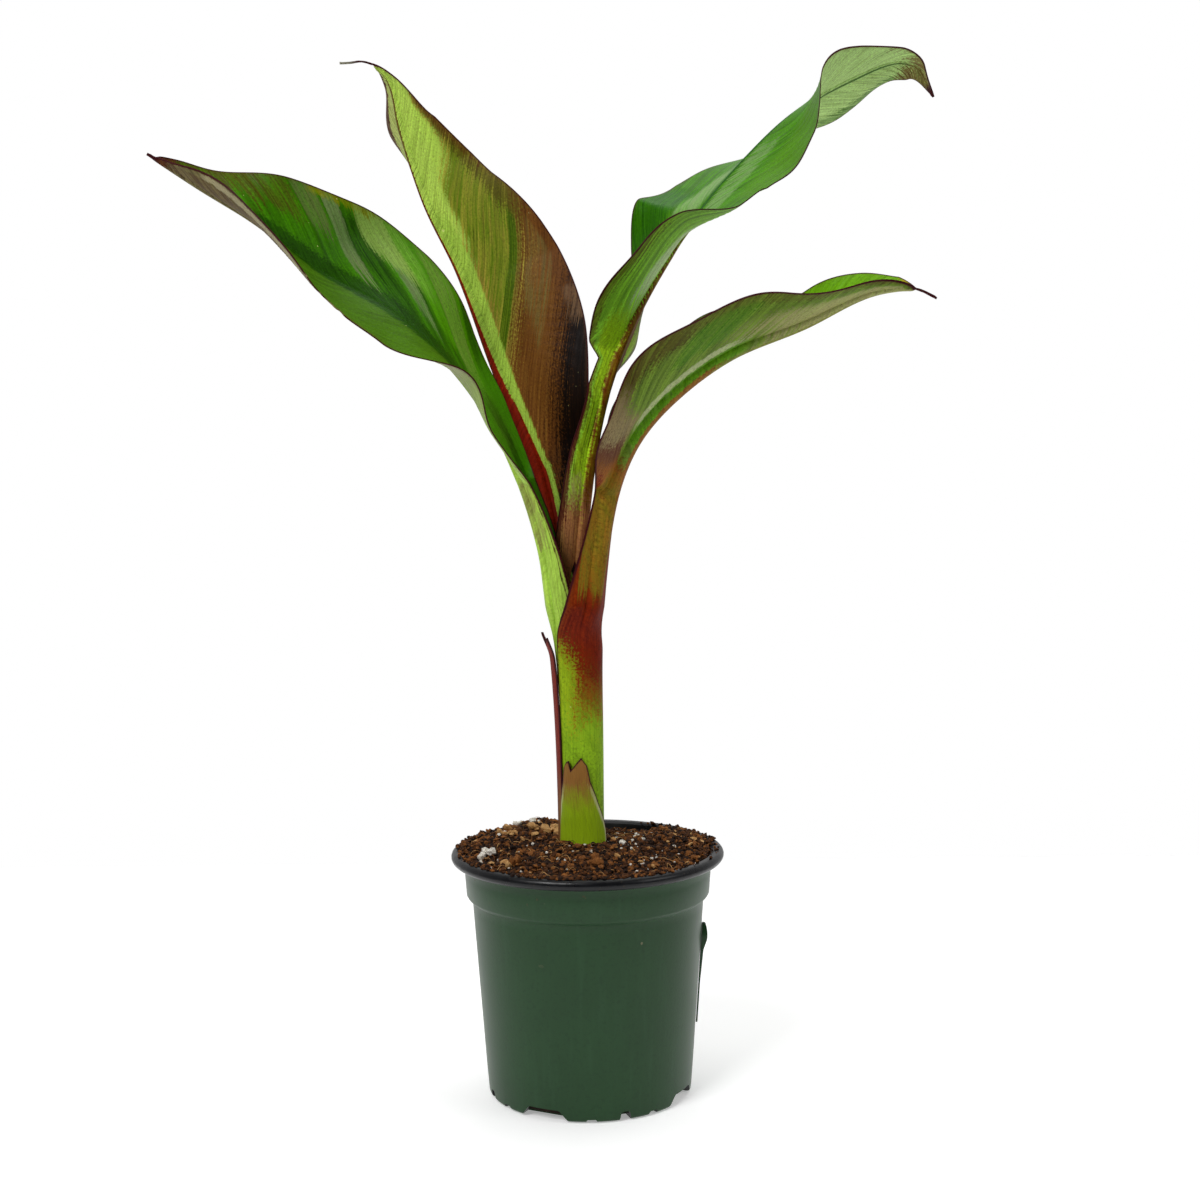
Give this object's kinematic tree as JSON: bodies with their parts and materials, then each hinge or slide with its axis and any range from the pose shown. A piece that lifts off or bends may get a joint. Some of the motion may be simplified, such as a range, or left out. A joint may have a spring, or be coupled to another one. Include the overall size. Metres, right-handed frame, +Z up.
{
  "type": "banana plant",
  "caption": "Young red-leaved banana plant: a short leaning stem of wrapped leaf bases with spreading leaves, standing in soil in a round green nursery pot.",
  "frame": {"origin": "middle of the pot's flat underside", "axes": "+Z up, +X towards the right-hand leaves, -Y the side that the cut leaf base on the stem faces"},
  "size_m": [0.3173, 0.1277, 0.4367],
  "materials": {
    "pot_plastic": "satin dark green thin plastic, black inside and on the rolled lip",
    "potting_soil": "moist crumbly peat mix with white perlite and tan bark bits",
    "stem_skin": "smooth lime green, mottled to red brown towards the fork",
    "old_sheath": "dry torn leaf base, brown and mauve over olive green with pale edges",
    "stalk_skin": "smooth channelled leaf stalk, lime green to red brown",
    "leaf_blade": "satin green blade flushed with maroon, fine side veins and a dark red margin"
  },
  "bodies": {
    "root": {"pot": "pot_plastic", "soil": "potting_soil", "pseudostem": "stem_skin", "sheath_stub_front": "old_sheath", "sheath_stub_left": "old_sheath", "stalk_left": "stalk_skin", "stalk_tall": "stalk_skin", "stalk_twisted": "stalk_skin", "stalk_right": "stalk_skin", "blade_left": "leaf_blade", "blade_tall": "leaf_blade", "blade_twisted": "leaf_blade", "blade_right": "leaf_blade", "pot_tab": "pot_plastic"}
  },
  "joints": []
}
